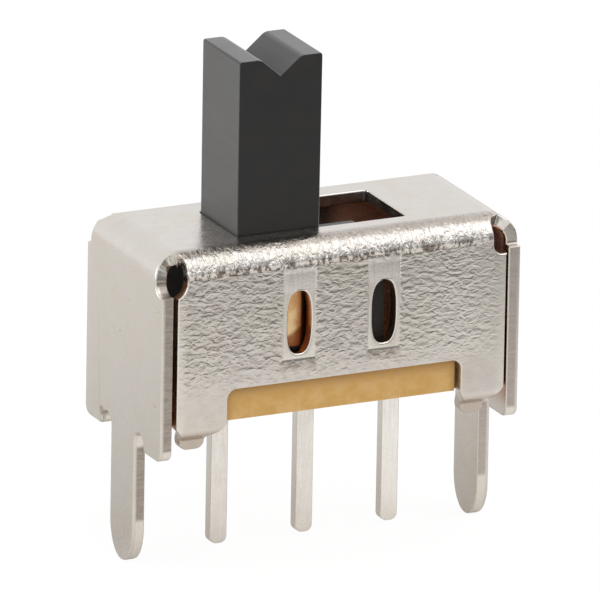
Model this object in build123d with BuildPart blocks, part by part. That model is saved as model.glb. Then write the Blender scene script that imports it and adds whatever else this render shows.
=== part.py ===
# A small two-position slide switch for a circuit board, in millimetres.
# X runs along the switch, Y to its back and Z up. The origin is in the middle of the frame, level with
# the shoulders of the end flaps, which is where the board's surface lies. The slider stands at its left end.
import os
from math import atan2, sqrt, tan

from build123d import *

overrun = 0.5  # how far a cut runs past what it cuts

# Pins and travel
pin_pitch = 2.54
pin_width = 0.5
pin_thickness = 0.36
pin_length = 3.25  # below the board seat
pin_round = 0.2
pin_row = -0.12  # the pins stand a little in front of the middle
travel = 2.5

# Frame: one folded sheet
sheet = 0.36
frame_length = 10.6
frame_width = 4.8
frame_height = 5.7  # board seat to the top plate
end_bend = 0.75  # outer radius where the end flaps fold down
wall_bend = 0.62  # outer radius where the walls fold down
corner_slit = 0.12  # between a wall and the left end flap
right_slit = 0.05  # narrower at the right end flap
relief_radius = 0.3  # corner reliefs
relief_from_end = 0.51
front_left_relief_radius = 0.455
front_left_relief_from_end = 0.32
relief_from_side = 0.12
relief_depth = 0.75
window_round = 0.12

# Detent holes in the front wall and the smooth raised pads around them
detent_height = 3.49
detent_hole_width = 0.7
detent_hole_height = 1.74
detent_hole_round = 0.2
hole_bow_share = 1.26  # the ellipse of a hole's sides, as a share of the hole's height
pad_width = 0.93
pad_drop = 1.02  # from the hole's middle to the pad's lower edge
pad_rise = 0.03
pad_slope = 45  # of the pad's sides, in degrees

# End flaps: a leg between two shoulders
leg_width = 1.46
leg_length = 3.43
leg_point = 1.03
notch_width = 0.6
notch_height = 0.44
shoulder_round = 0.28
notch_round = 0.12  # where a notch runs out at the shoulder

# Wall openings and the tabs folded in under the base
tab_width = 1.37  # at the wall
opening_shift = 0.14  # the openings lie a little to the right
opening_round = 0.26
tab_step_in = 0.45
tab_step_down = 0.27
tab_end_height = 0.13
tab_lip_inner_inset = 0.33  # the lip is narrower than the tab
tab_lip_outer_inset = 0.3
tab_round = 0.24

# Base plate
base_underside = 0.9
base_thickness = 0.92
base_width = 4.32
base_gap = 0.05  # to the walls and end flaps
tab_gap = 0.08  # to the tabs' inner sides
pin_gap = 0.02

# Terminal blades above the base
blade_width = 1.5
blade_height = 1.45
blade_round = 0.12

# Slider
knob_length = 2.42
knob_width = 2.37
knob_height = 4.84  # above the top plate
knob_notch_width = 1.2
knob_notch_depth = 0.51
knob_lip_round = 0.1
knob_corner_round = 0.06
end_play = 0.04
side_play = 0.05
window_shift = 0.08  # the window and the slider lie a little to the left
slide_gap = 0.05
foot_end_gap = 0.81  # foot to the left end flap
foot_lift = 0.28  # foot above the base
channel_gap = 0.1  # foot to the blades
step_length = 1.5  # the foot is lowered behind its right end
step_front = 0.1
step_depth = 1.1

# Contact clip
clip_length = 3.0
clip_sheet = 0.15
clip_gap = 0.02
blade_play = 0.03
blade_clearance = 0.1  # above the blades
clip_lift = 0.35  # clip's ends above the base
clip_round = 0.1

# Detent spring
leaf_sheet = 0.12
leaf_length = 3.4
leaf_height = 1.56
leaf_set_back = 0.23  # behind the wall's inner face
leaf_leg = 0.45
leaf_gap = 0.04
ridge_radius = 0.6
ridge_half_width = 0.17  # where the ridge enters the hole, less than the hole's half width at the ridge's ends

# Places worked out from the sizes above
half_length = frame_length / 2
half_width = frame_width / 2
inner_half_length = half_length - sheet
inner_half_width = half_width - sheet
tab_outer = inner_half_length - corner_slit
tab_inner = tab_outer - tab_width
base_top = base_underside + base_thickness
blade_top = base_top + blade_height
clip_top = blade_top + blade_clearance + clip_sheet
foot_bottom = base_top + foot_lift
foot_top = frame_height - sheet - slide_gap
foot_half_width = inner_half_width - slide_gap
detent_places = (-travel / 2, travel / 2)
slider_rest = detent_places[0] - window_shift
foot_length = 2 * (inner_half_length + slider_rest - foot_end_gap)
leaf_place = detent_places[0]
leaf_back = inner_half_width - leaf_set_back - leaf_sheet
ridge_centre = inner_half_width - sqrt(ridge_radius**2 - ridge_half_width**2)


def bent_block(length, width, top, end_radius, wall_radius):
    # A block above the base's underside, its upper edges rounded as the sheet is bent.
    height = top - base_underside
    middle = base_underside + height / 2
    with BuildPart() as block:
        with BuildSketch(Plane.YZ) as across:
            with Locations((0, middle)):
                Rectangle(width, height)
            fillet(across.vertices().group_by(Axis.Y)[-1], wall_radius)
        extrude(amount=length / 2, both=True)
        with BuildSketch(Plane.XZ) as along:
            with Locations((0, middle)):
                Rectangle(length, height)
            fillet(along.vertices().group_by(Axis.Y)[-1], end_radius)
        extrude(amount=width / 2, both=True, mode=Mode.INTERSECT)
    return block.part


def folded_tab(inner, outer):
    # A tab at the right end of the back wall: a step in under the base, then a short upright lip.
    step_angle = atan2(tab_step_in, tab_step_down)
    bend_rise = sheet * tan(step_angle / 2)
    step_foot = base_underside - bend_rise - tab_step_down
    lip_half_width = half_width - tab_step_in
    lip_inner = tab_inner + tab_lip_inner_inset
    lip_outer = tab_outer - tab_lip_outer_inset
    with BuildPart() as tab:
        with BuildSketch(Plane.YZ):
            with BuildLine():
                Polyline(
                    (half_width, base_underside + sheet),
                    (half_width, base_underside - bend_rise),
                    (lip_half_width, step_foot),
                    (lip_half_width, tab_end_height),
                    (lip_half_width - sheet, tab_end_height),
                    (lip_half_width - sheet, step_foot + bend_rise),
                    (inner_half_width, base_underside),
                    (inner_half_width, base_underside + sheet),
                    close=True,
                )
            make_face()
        extrude(amount=half_length)
        with BuildSketch(Plane.XZ) as outline:
            with BuildLine():
                Polyline(
                    (inner, base_underside + sheet),
                    (inner, base_underside),
                    (lip_inner, step_foot),
                    (lip_inner, tab_end_height),
                    (lip_outer, tab_end_height),
                    (lip_outer, step_foot),
                    (outer, base_underside),
                    (outer, base_underside + sheet),
                    close=True,
                )
            make_face()
            fillet(outline.vertices().group_by(Axis.Y)[0], tab_round)
        extrude(amount=frame_width, both=True, mode=Mode.INTERSECT)
    return tab.part


with BuildPart() as frame:
    add(bent_block(frame_length, frame_width, frame_height, end_bend, wall_bend))
    add(
        bent_block(
            2 * inner_half_length,
            2 * inner_half_width,
            frame_height - sheet,
            end_bend - sheet,
            wall_bend - sheet,
        ),
        mode=Mode.SUBTRACT,
    )
    # Slits that part the walls from the end flaps, and the round reliefs they run into
    relief_height = frame_height - relief_depth
    with BuildSketch(Plane.XY):
        for x_side, slit in ((-1, corner_slit), (1, right_slit)):
            with Locations((x_side * (inner_half_length - slit / 2), 0)):
                Rectangle(slit, frame_width + overrun)
    extrude(amount=relief_height, mode=Mode.SUBTRACT)
    corner_reliefs = (
        (-1, -1, front_left_relief_radius, front_left_relief_from_end),
        (-1, 1, relief_radius, relief_from_end),
        (1, -1, relief_radius, relief_from_end),
        (1, 1, relief_radius, relief_from_end),
    )
    for x_side, y_side, radius, from_end in corner_reliefs:
        x_place = x_side * (half_length - from_end)
        y_place = y_side * (half_width - relief_from_side)
        with Locations((x_place, y_place, relief_height)):
            Sphere(radius, mode=Mode.SUBTRACT)
            Cylinder(
                radius,
                relief_depth + overrun,
                align=(Align.CENTER, Align.CENTER, Align.MIN),
                mode=Mode.SUBTRACT,
            )
    # Window for the actuator
    window_length = knob_length + travel + 2 * end_play
    with BuildSketch(Plane.XY.offset(frame_height)):
        with Locations((-window_shift, 0)):
            RectangleRounded(window_length, knob_width + 2 * side_play, window_round)
    extrude(amount=-sheet - slide_gap, mode=Mode.SUBTRACT)
    # Openings that the base fills, in both walls
    with BuildSketch(Plane.XZ) as opening:
        with Locations((opening_shift, base_underside)):
            Rectangle(2 * tab_inner, 2 * base_thickness)
        fillet(opening.vertices().group_by(Axis.Y)[-1], opening_round)
    extrude(amount=half_width + overrun, both=True, mode=Mode.SUBTRACT)
    # Raised pads and the detent holes in them
    pad_foot = detent_height - pad_drop
    pad_height = frame_height - wall_bend - pad_foot
    with BuildSketch(Plane.XZ.offset(half_width)):
        for place in detent_places:
            with Locations((place, pad_foot + pad_height / 2)):
                Rectangle(pad_width, pad_height)
    extrude(amount=pad_rise, taper=pad_slope)
    for place in detent_places:
        with BuildSketch(Plane.XZ.offset(half_width + pad_rise)) as hole:
            with Locations((place, detent_height)):
                Ellipse(detent_hole_width / 2, hole_bow_share * detent_hole_height / 2)
                Rectangle(detent_hole_width, detent_hole_height, mode=Mode.INTERSECT)
            fillet(hole.vertices(), detent_hole_round)
        extrude(amount=-sheet - overrun, mode=Mode.SUBTRACT)
    # End flaps' shoulders and legs
    for side in (-1, 1):
        with BuildSketch(Plane.YZ.offset(side * half_length)) as flap_foot:
            with Locations((0, base_underside / 2)):
                Rectangle(frame_width, base_underside)
            with GridLocations(leg_width + notch_width, 0, 2, 1):
                SlotOverall(2 * notch_height, notch_width, rotation=90, mode=Mode.SUBTRACT)
            corners = flap_foot.vertices().group_by(Axis.Y)[0].sort_by(Axis.X)
            fillet([corners[0], corners[-1]], shoulder_round)
            corners = flap_foot.vertices().group_by(Axis.Y)[0].sort_by(Axis.X)
            fillet([corners[1], corners[-2]], notch_round)
            with Locations((0, leg_point - leg_length)):
                Rectangle(leg_width, leg_length - leg_point, align=(Align.CENTER, Align.MIN))
                Ellipse(leg_width / 2, leg_point)
        extrude(amount=-side * sheet)
    # Tabs at the four corners
    right_tab = folded_tab(tab_inner + opening_shift, inner_half_length - right_slit)
    left_tab = folded_tab(tab_inner - opening_shift, tab_outer).mirror(Plane.YZ)
    for corner_tab in (right_tab, left_tab):
        add(corner_tab)
        mirror(corner_tab, about=Plane.XZ)
frame.part.label = "frame"

with BuildPart() as base_plate:
    with BuildSketch(Plane.XY.offset(base_underside)):
        with Locations((opening_shift, 0)):
            Rectangle(2 * (tab_inner - tab_gap), base_width)
        Rectangle(2 * (inner_half_length - base_gap), 2 * (inner_half_width - base_gap))
        with Locations((0, pin_row)):
            with GridLocations(pin_pitch, 0, 3, 1):
                Rectangle(pin_width + 2 * pin_gap, pin_thickness + 2 * pin_gap, mode=Mode.SUBTRACT)
    extrude(amount=base_thickness)
base_plate.part.label = "base_plate"

terminals = []
for name, place in (("left_terminal", -pin_pitch), ("common_terminal", 0), ("right_terminal", pin_pitch)):
    with BuildPart() as terminal:
        with BuildSketch(Plane.XZ.offset(-pin_row)) as pin_outline:
            with Locations((place, -pin_length)):
                Rectangle(pin_width, pin_length + base_top, align=(Align.CENTER, Align.MIN))
            fillet(pin_outline.vertices().group_by(Axis.Y)[0], pin_round)
        extrude(amount=pin_thickness / 2, both=True)
        with BuildSketch(Plane.XZ.offset(-pin_row)) as blade_outline:
            with Locations((place, base_top)):
                Rectangle(blade_width, blade_height, align=(Align.CENTER, Align.MIN))
            fillet(blade_outline.vertices().group_by(Axis.Y)[-1], blade_round)
        extrude(amount=pin_thickness / 2, both=True)
    terminal.part.label = name
    terminals.append(terminal)

with BuildPart() as slider:
    # Foot, its upper edges rounded to clear the frame's bends
    with BuildSketch(Plane.YZ.offset(slider_rest)) as foot:
        with Locations((0, foot_bottom)):
            Rectangle(2 * foot_half_width, foot_top - foot_bottom, align=(Align.CENTER, Align.MIN))
        fillet(foot.vertices().group_by(Axis.Y)[-1], wall_bend - sheet - slide_gap)
    extrude(amount=foot_length / 2, both=True)
    # Actuator with a V notch across its top
    knob_top = frame_height + knob_height
    with BuildSketch(Plane.XZ) as knob:
        with BuildLine():
            Polyline(
                (slider_rest - knob_length / 2, foot_top - slide_gap),
                (slider_rest - knob_length / 2, knob_top),
                (slider_rest - knob_notch_width / 2, knob_top),
                (slider_rest, knob_top - knob_notch_depth),
                (slider_rest + knob_notch_width / 2, knob_top),
                (slider_rest + knob_length / 2, knob_top),
                (slider_rest + knob_length / 2, foot_top - slide_gap),
                close=True,
            )
        make_face()
        top_corners = knob.vertices().group_by(Axis.Y)[-1].sort_by(Axis.X)
        fillet(top_corners[1:3], knob_lip_round)
        fillet([top_corners[0], top_corners[-1]], knob_corner_round)
    extrude(amount=knob_width / 2, both=True)
    fillet(slider.edges().filter_by(Axis.Z).group_by(SortBy.LENGTH)[-1], knob_corner_round)
    # Lowered corner of the foot that the window shows beside the knob
    with BuildSketch(Plane.XY.offset(foot_top)):
        with Locations((slider_rest + foot_length / 2, foot_half_width)):
            Rectangle(step_length, foot_half_width - step_front, align=(Align.MAX, Align.MAX))
    extrude(amount=-step_depth, mode=Mode.SUBTRACT)
    # Channel along the foot for the blades, and a wider pocket in it for the contact clip
    with BuildSketch(Plane.XY.offset(foot_bottom)):
        with Locations((slider_rest, pin_row)):
            Rectangle(foot_length + overrun, pin_thickness + 2 * channel_gap)
    extrude(amount=blade_top + blade_clearance - foot_bottom, mode=Mode.SUBTRACT)
    with BuildSketch(Plane.XY.offset(foot_bottom)):
        with Locations((slider_rest, pin_row)):
            Rectangle(
                clip_length + 2 * clip_gap,
                pin_thickness + 2 * (blade_play + clip_sheet + clip_gap),
            )
    extrude(amount=clip_top + clip_gap - foot_bottom, mode=Mode.SUBTRACT)
    # Pocket in the front for the detent spring
    with BuildSketch(Plane.XZ.offset(foot_half_width)):
        with Locations((leaf_place, detent_height)):
            Rectangle(leaf_length + 2 * leaf_gap, leaf_height + 2 * leaf_gap)
    extrude(amount=-(foot_half_width - leaf_back + leaf_leg), mode=Mode.SUBTRACT)
slider.part.label = "slider"

with BuildPart() as contact_clip:
    clip_half_width = pin_thickness / 2 + blade_play + clip_sheet
    clip_bottom = base_top + clip_lift
    with BuildSketch(Plane.YZ.offset(slider_rest)) as clip_outline:
        with Locations((pin_row, clip_bottom)):
            Rectangle(2 * clip_half_width, clip_top - clip_bottom, align=(Align.CENTER, Align.MIN))
        fillet(clip_outline.vertices().group_by(Axis.Y)[-1], clip_round)
        with Locations((pin_row, clip_bottom)):
            Rectangle(
                2 * (clip_half_width - clip_sheet),
                clip_top - clip_sheet - clip_bottom,
                align=(Align.CENTER, Align.MIN),
                mode=Mode.SUBTRACT,
            )
    extrude(amount=clip_length / 2, both=True)
contact_clip.part.label = "contact_clip"

with BuildPart() as detent_spring:
    # An upright ridge across the leaf, hollow behind and cut off level with the leaf's back
    with Locations((leaf_place, -ridge_centre, detent_height)):
        Cylinder(ridge_radius, leaf_height)
    split(bisect_by=Plane.XZ.offset(leaf_back), keep=Keep.TOP)
    with BuildSketch(Plane.XZ.offset(leaf_back)):
        with Locations((leaf_place, detent_height)):
            Rectangle(leaf_length, leaf_height)
    extrude(amount=leaf_sheet)
    with Locations((leaf_place, -ridge_centre, detent_height)):
        Cylinder(ridge_radius - leaf_sheet, leaf_height + overrun, mode=Mode.SUBTRACT)
    # Ends folded back, which stand on the pocket's floor
    with BuildSketch(Plane.XZ.offset(leaf_back)):
        with Locations((leaf_place, detent_height)):
            with GridLocations(leaf_length - leaf_sheet, 0, 2, 1):
                Rectangle(leaf_sheet, leaf_height)
    extrude(amount=-leaf_leg)
detent_spring.part.label = "detent_spring"

os.makedirs("parts", exist_ok=True)
for piece in (frame, base_plate, *terminals, slider, contact_clip, detent_spring):
    export_step(piece.part, f"parts/{piece.part.label}.step")
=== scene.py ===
from math import cos, pi, radians, sin

import bpy
from mathutils import Matrix, Vector


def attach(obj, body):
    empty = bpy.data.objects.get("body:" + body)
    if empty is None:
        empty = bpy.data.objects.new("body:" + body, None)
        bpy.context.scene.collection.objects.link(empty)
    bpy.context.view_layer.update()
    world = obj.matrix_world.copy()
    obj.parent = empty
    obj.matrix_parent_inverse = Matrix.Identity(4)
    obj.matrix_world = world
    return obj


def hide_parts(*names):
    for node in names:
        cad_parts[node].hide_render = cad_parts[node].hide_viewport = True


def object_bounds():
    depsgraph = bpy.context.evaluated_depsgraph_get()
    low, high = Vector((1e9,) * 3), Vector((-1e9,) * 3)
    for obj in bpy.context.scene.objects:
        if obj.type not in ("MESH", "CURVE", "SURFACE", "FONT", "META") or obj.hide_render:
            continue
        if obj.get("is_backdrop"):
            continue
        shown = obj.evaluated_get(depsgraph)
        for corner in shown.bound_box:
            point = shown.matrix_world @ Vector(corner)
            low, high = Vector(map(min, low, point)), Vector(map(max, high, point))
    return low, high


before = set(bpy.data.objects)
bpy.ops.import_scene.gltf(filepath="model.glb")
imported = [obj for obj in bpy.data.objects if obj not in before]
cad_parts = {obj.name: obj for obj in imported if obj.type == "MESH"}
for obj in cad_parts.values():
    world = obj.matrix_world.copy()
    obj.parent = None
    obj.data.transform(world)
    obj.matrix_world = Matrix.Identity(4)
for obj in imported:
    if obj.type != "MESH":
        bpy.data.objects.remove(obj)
cadLow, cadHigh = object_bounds()
mm = 0.001  # pieces are shaped in millimetres and brought to metres when they are done
print("frame loaded:", ", ".join(sorted(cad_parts)))

# Small helpers for modelling

closeBy = 0.004  # places nearer than this count as the same place
mergeDistance = 0.0005  # points nearer than this become one
hair = 0.001  # room that keeps two rounded corners from meeting
sharpEdge = radians(50)  # edges folded more than this get a soft edge
sharpShading = radians(40)  # and those still folded more than this stay crisp
farEnd, farSide, farBelow = 6, 3, -5  # where the cutting blocks end, outside the frame


def setMode(mode):
    bpy.ops.object.mode_set(mode=mode)


def applyMoves():
    bpy.ops.object.transform_apply(location=True, rotation=True, scale=True)


def pickNothing():
    if bpy.context.mode != "OBJECT":
        setMode("OBJECT")
    bpy.ops.object.select_all(action="DESELECT")


def pickPiece(piece):
    pickNothing()
    piece.select_set(True)
    bpy.context.view_layer.objects.active = piece


def near(a, b):
    return abs(a - b) < closeBy


def runsAlong(way, axis):
    return way.length > 0 and abs(way[axis]) > 0.999 * way.length


def span(side, a, b):
    # two places on one side of the middle, the lower one first
    return sorted((side * a, side * b))


def addBlock(name, low, high):
    pickNothing()
    middle = [(a + b) / 2 for a, b in zip(low, high)]
    bpy.ops.mesh.primitive_cube_add(size=1, location=middle)
    piece = bpy.context.object
    piece.name = name
    piece.scale = [b - a for a, b in zip(low, high)]
    applyMoves()
    return piece


def pickParts(piece, kind, chosen):
    # leaves the piece in edit mode with the chosen points, edges or faces picked
    pickPiece(piece)
    setMode("EDIT")
    bpy.ops.mesh.select_mode(type=kind)
    bpy.ops.mesh.select_all(action="DESELECT")
    setMode("OBJECT")
    mesh = piece.data
    for part in {"VERT": mesh.vertices, "EDGE": mesh.edges, "FACE": mesh.polygons}[kind]:
        part.select = bool(chosen(part))
    setMode("EDIT")


def pickEdges(piece, wanted):
    # wanted is told each edge's middle and its run
    def chosen(edge):
        a, b = (piece.data.vertices[number].co for number in edge.vertices)
        return wanted((a + b) / 2, b - a)
    pickParts(piece, "EDGE", chosen)


def pickFaces(piece, wanted):
    pickParts(piece, "FACE", lambda face: wanted(face.center, face.normal))


def pickPoints(piece, wanted):
    pickParts(piece, "VERT", lambda point: wanted(point.co))


def roundEdges(piece, wanted, radius, steps):
    pickEdges(piece, wanted)
    bpy.ops.mesh.bevel(offset=radius, segments=steps, affect="EDGES")
    setMode("OBJECT")


def roundCorners(piece, wanted, radius, steps):
    pickPoints(piece, wanted)
    bpy.ops.mesh.bevel(offset=radius, segments=steps, affect="VERTICES")
    setMode("OBJECT")


def workIn(piece, tool, how="DIFFERENCE"):
    # cuts the tool away from the piece, joins it on, or keeps what both share
    pickPiece(piece)
    step = piece.modifiers.new("work", "BOOLEAN")
    step.operation = how
    step.solver = "EXACT"
    step.object = tool
    bpy.ops.object.modifier_apply(modifier=step.name)
    bpy.data.objects.remove(tool)


def finishPiece(piece, softEdge, steps=3, settle=None, spare=None):
    # soft edges other than the spared ones, even shading, and from millimetres to metres
    pickPiece(piece)
    setMode("EDIT")
    bpy.ops.mesh.select_all(action="SELECT")
    bpy.ops.mesh.remove_doubles(threshold=mergeDistance)
    bpy.ops.mesh.normals_make_consistent(inside=False)
    bpy.ops.mesh.select_mode(type="EDGE")
    bpy.ops.mesh.select_all(action="DESELECT")
    bpy.ops.mesh.edges_select_sharp(sharpness=sharpEdge)
    if spare:
        setMode("OBJECT")
        for edge in piece.data.edges:
            if edge.select and spare(*(piece.data.vertices[number].co for number in edge.vertices)):
                edge.select = False
        setMode("EDIT")
    bpy.ops.transform.edge_bevelweight(value=1)
    setMode("OBJECT")
    soften = piece.modifiers.new("softEdges", "BEVEL")
    soften.width = softEdge
    soften.segments = steps
    soften.limit_method = "WEIGHT"
    soften.use_clamp_overlap = False
    soften.loop_slide = False
    bpy.ops.object.modifier_apply(modifier=soften.name)
    if settle:
        for point in piece.data.vertices:
            settle(point.co)
    bpy.ops.object.shade_smooth_by_angle(angle=sharpShading)
    even = piece.modifiers.new("evenShading", "WEIGHTED_NORMAL")
    even.keep_sharp = True
    bpy.ops.object.modifier_apply(modifier=even.name)
    piece.scale = (mm, mm, mm)
    applyMoves()
    print(piece.name, "shaped,", len(piece.data.polygons), "faces")


# Frame: one folded sheet of tinned steel

tinFrame = {
    "halfLength": 5.3, "halfWidth": 2.4, "top": 5.7, "sheet": 0.36, "endBend": 0.75, "wallBend": 0.62, "bendSteps": 40,
    "slitLeft": 4.82, "slitRight": 4.89, "slitOuter": 4.94, "reliefHeight": 4.95, "wallFoot": 0.9, "footInset": 0.02,
    "legTip": -3.43, "softEdge": 0.055, "overlap": 1,
}
f = tinFrame
bends = ((0, f["halfLength"], f["endBend"]), (1, f["halfWidth"], f["wallBend"]))  # axis, reach and radius


def isUpper(m, way, axis):
    return runsAlong(way, axis) and near(m.z, f["top"])


# a solid block with its upper edges rounded as the sheet is bent
shell = addBlock("tinFrame", (-f["halfLength"] - f["overlap"], -f["halfWidth"], f["legTip"]),
                 (f["halfLength"] + f["overlap"], f["halfWidth"], f["top"]))
roundEdges(shell, lambda m, way: isUpper(m, way, 0), f["wallBend"], f["bendSteps"])
along = addBlock("along", (-f["halfLength"], -f["halfWidth"] - f["overlap"], f["legTip"] - f["overlap"]),
                 (f["halfLength"], f["halfWidth"] + f["overlap"], f["top"]))
roundEdges(along, lambda m, way: isUpper(m, way, 1), f["endBend"], f["bendSteps"])
workIn(shell, along, "INTERSECT")

# slits between walls and end flaps, and the walls' lower edge
for end, inner in ((-1, f["slitLeft"]), (1, f["slitRight"])):
    low, high = span(end, inner, f["slitOuter"])
    workIn(shell, addBlock("slit", (low, -farSide, farBelow), (high, farSide, f["reliefHeight"])))
footEnd = f["slitOuter"] - f["footInset"]
workIn(shell, addBlock("below", (-footEnd, -farSide, farBelow), (footEnd, farSide, f["wallFoot"])))

# round corner reliefs: end, side, radius, distance from the end, and whether a square step is cut above
cornerReliefs = (
    (-1, -1, 0.455, 0.32, False), (-1, 1, 0.3, 0.51, True),
    (1, -1, 0.3, 0.51, True), (1, 1, 0.3, 0.51, True),
)
relief = {"fromSide": 0.12, "around": 40, "rings": 20, "stretch": 2, "stepEnd": 4.85, "stepSide": 2.2, "stepLow": 4.85}
for end, side, radius, fromEnd, stepped in cornerReliefs:
    pickNothing()
    place = (end * (f["halfLength"] - fromEnd), side * (f["halfWidth"] - relief["fromSide"]), f["reliefHeight"])
    bpy.ops.mesh.primitive_uv_sphere_add(segments=relief["around"], ring_count=relief["rings"],
                                         radius=radius, location=place)
    punch = bpy.context.object
    applyMoves()
    pickPoints(punch, lambda c: c.z > f["reliefHeight"] + hair)
    bpy.ops.transform.translate(value=(0, 0, relief["stretch"]))
    setMode("OBJECT")
    workIn(shell, punch)
    if stepped:
        across, outward = span(end, relief["stepEnd"], farEnd), span(side, relief["stepSide"], farSide)
        workIn(shell, addBlock("step", (across[0], outward[0], relief["stepLow"]), (across[1], outward[1], farEnd)))

# window for the actuator, and the openings that the base fills
window = {"middle": -0.08, "halfLength": 2.5, "halfWidth": 1.235, "corner": 0.12, "low": 4, "high": 6.5}
w = window
hole = addBlock("window", (w["middle"] - w["halfLength"], -w["halfWidth"], w["low"]),
                (w["middle"] + w["halfLength"], w["halfWidth"], w["high"]))
roundEdges(hole, lambda m, way: runsAlong(way, 2), w["corner"], 5)
workIn(shell, hole)

opening = {"left": -3.31, "right": 3.59, "low": -0.5, "top": 1.82, "corner": 0.26}
o = opening
hole = addBlock("opening", (o["left"], -farSide, o["low"]), (o["right"], farSide, o["top"]))
roundEdges(hole, lambda m, way: runsAlong(way, 1) and near(m.z, o["top"]), o["corner"], 8)
workIn(shell, hole)

# detent holes, each in a raised pad that runs out into the bend above
detents = {"places": (-1.25, 1.25), "height": 3.49, "halfWide": 0.35, "halfTall": 0.87, "fullness": 2.8, "around": 64,
           "padHalf": 0.465, "padFoot": 2.47, "padTop": 5.0, "rise": 0.03, "slope": 0.04}
t = detents
for x in t["places"]:
    pickNothing()
    bpy.ops.mesh.primitive_cylinder_add(vertices=t["around"], radius=1, depth=2,
                                        location=(x, -f["halfWidth"], t["height"]), rotation=(pi / 2, 0, 0))
    hole = bpy.context.object
    applyMoves()
    for point in hole.data.vertices:  # bowed sides and well rounded corners
        for axis, middle, half in ((0, x, t["halfWide"]), (2, t["height"], t["halfTall"])):
            part = point.co[axis] - middle
            point.co[axis] = middle + half * (1 if part > 0 else -1) * abs(part) ** (2 / t["fullness"])
    workIn(shell, hole)

# legs, with a notch on each side of them and shoulders beyond
leg = {"half": 0.73, "notch": 0.6, "notchTop": 0.44, "point": 1.03, "shoulderRound": 0.28, "notchRound": 0.12}
g = leg
for side in (-1, 1):
    low, high = span(side, g["half"], g["half"] + g["notch"])
    notch = addBlock("notch", (-farEnd, low, farBelow), (farEnd, high, g["notchTop"]))
    roundEdges(notch, lambda m, way: runsAlong(way, 0) and near(m.z, g["notchTop"]), g["notch"] / 2 - hair, 8)
    workIn(shell, notch)
    low, high = span(side, g["half"] + g["notch"] / 2, farSide)
    workIn(shell, addBlock("besideLeg", (-farEnd, low, farBelow), (farEnd, high, 0)))
print("frame bent and punched")

skin = {"depth": 0.012, "facing": 0.6, "edge": 0.05}


def isSkin(c, n):
    # true for faces on the block's outside, which are kept as the sheet's outer face
    nearest = None
    for axis, half, bend in bends:
        reach, outward = abs(c[axis]), n[axis] * (1 if c[axis] > 0 else -1)
        past, over = reach - (half - bend), c.z - (f["top"] - bend)
        if past > 0 and over > 0:
            turned = (past * past + over * over) ** 0.5
            depth, facing = bend - turned, (outward * past + n.z * over) / turned
        else:
            depth, facing = min((half - reach, outward), (f["top"] - c.z, n.z))
        if nearest is None or depth < nearest[0]:
            nearest = (depth, facing, axis)
    depth, facing, axis = nearest
    if axis == 1 and c.z < f["top"] - skin["edge"] and abs(c.x) > f["slitOuter"] - skin["edge"]:
        return False
    return depth < skin["depth"] and facing > skin["facing"]


pickFaces(shell, lambda c, n: not isSkin(c, n))
bpy.ops.mesh.delete(type="FACE")
setMode("OBJECT")

# shoulders, notch ends and pointed leg tips
roundCorners(shell, lambda c: near(c.z, 0) and near(abs(c.y), f["halfWidth"]), g["shoulderRound"], 6)
roundCorners(shell, lambda c: near(c.z, 0) and near(abs(c.y), g["half"] + g["notch"]), g["notchRound"], 4)
roundCorners(shell, lambda c: near(c.z, f["legTip"]), g["half"] - hair, 12)
pickPoints(shell, lambda c: c.z < f["legTip"] + g["half"] + hair)
bpy.ops.transform.resize(value=(1, 1, g["point"] / g["half"]), center_override=(0, 0, f["legTip"]))
setMode("OBJECT")

# tabs folded in under the base, each with a short upright lip
tab = {"lipInner": 3.78, "lipOuter": 4.52, "firstFold": 0.696, "secondFold": 0.426, "lipEnd": 0.13,
       "stepIn": 0.45, "round": 0.24, "fold": 0.13, "firstPull": 0.1}


def foldTab(inner, outer, end, side):
    wall = side * f["halfWidth"]
    lip = wall - side * tab["stepIn"]
    middle = (inner + outer) / 2

    def isRoot(m, way):
        return runsAlong(way, 0) and near(m.z, f["wallFoot"]) and near(m.y, wall) and near(m.x, end * middle)

    pickEdges(shell, isRoot)
    for y, z in ((wall, tab["firstFold"]), (lip, tab["secondFold"]), (lip, tab["lipEnd"])):
        bpy.ops.mesh.extrude_region_move(TRANSFORM_OT_translate={"value": (0, 0, -tab["firstPull"])})
        setMode("OBJECT")
        share = min(1, (f["wallFoot"] - z) / (f["wallFoot"] - tab["secondFold"]))  # narrower on its way down
        for point in shell.data.vertices:
            if point.select:
                start, goal = (outer, tab["lipOuter"]) if abs(point.co.x) > middle else (inner, tab["lipInner"])
                point.co = (end * (start + share * (goal - start)), y, z)
        setMode("EDIT")
    setMode("OBJECT")


def isFold(m, way):
    return runsAlong(way, 0) and (near(m.z, tab["firstFold"]) or near(m.z, tab["secondFold"]))


for end, inner, outer in ((-1, -opening["left"], f["slitLeft"]), (1, opening["right"], f["slitRight"])):
    for side in (-1, 1):
        foldTab(inner, outer, end, side)
roundCorners(shell, lambda c: near(c.z, tab["lipEnd"]), tab["round"], 6)
roundEdges(shell, isFold, tab["fold"], 5)


def splitAt(axis, cut):
    # cuts the picked faces along a plane across the axis
    way = [float(axis == other) for other in range(3)]
    bpy.ops.mesh.bisect(plane_co=[cut * part for part in way], plane_no=way)


# long faces are split so that shading stays even along the bends
splits = ((-4.38, -4.1, -3.0, -2.0, 0, 2.0, 3.0, 4.1, 4.38), (-1.72, -1.4, 0, 1.4, 1.72), (4.4,))
pickPiece(shell)
setMode("EDIT")
for axis, cuts in enumerate(splits):
    for cut in cuts:
        bpy.ops.mesh.select_all(action="SELECT")
        splitAt(axis, cut)


def isFrontWall(c, n):
    return n.y < -0.99 and c.z < f["top"] - f["wallBend"] + 0.01


# lines round the pads
for x in t["places"]:
    lines = [(0, x + side * (t["padHalf"] - inset)) for side in (-1, 1) for inset in (0, t["slope"])]
    lines += [(2, t["padFoot"]), (2, t["padFoot"] + t["slope"]), (2, t["padTop"])]
    for axis, cut in lines:
        pickFaces(shell, isFrontWall)
        splitAt(axis, cut)

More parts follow.
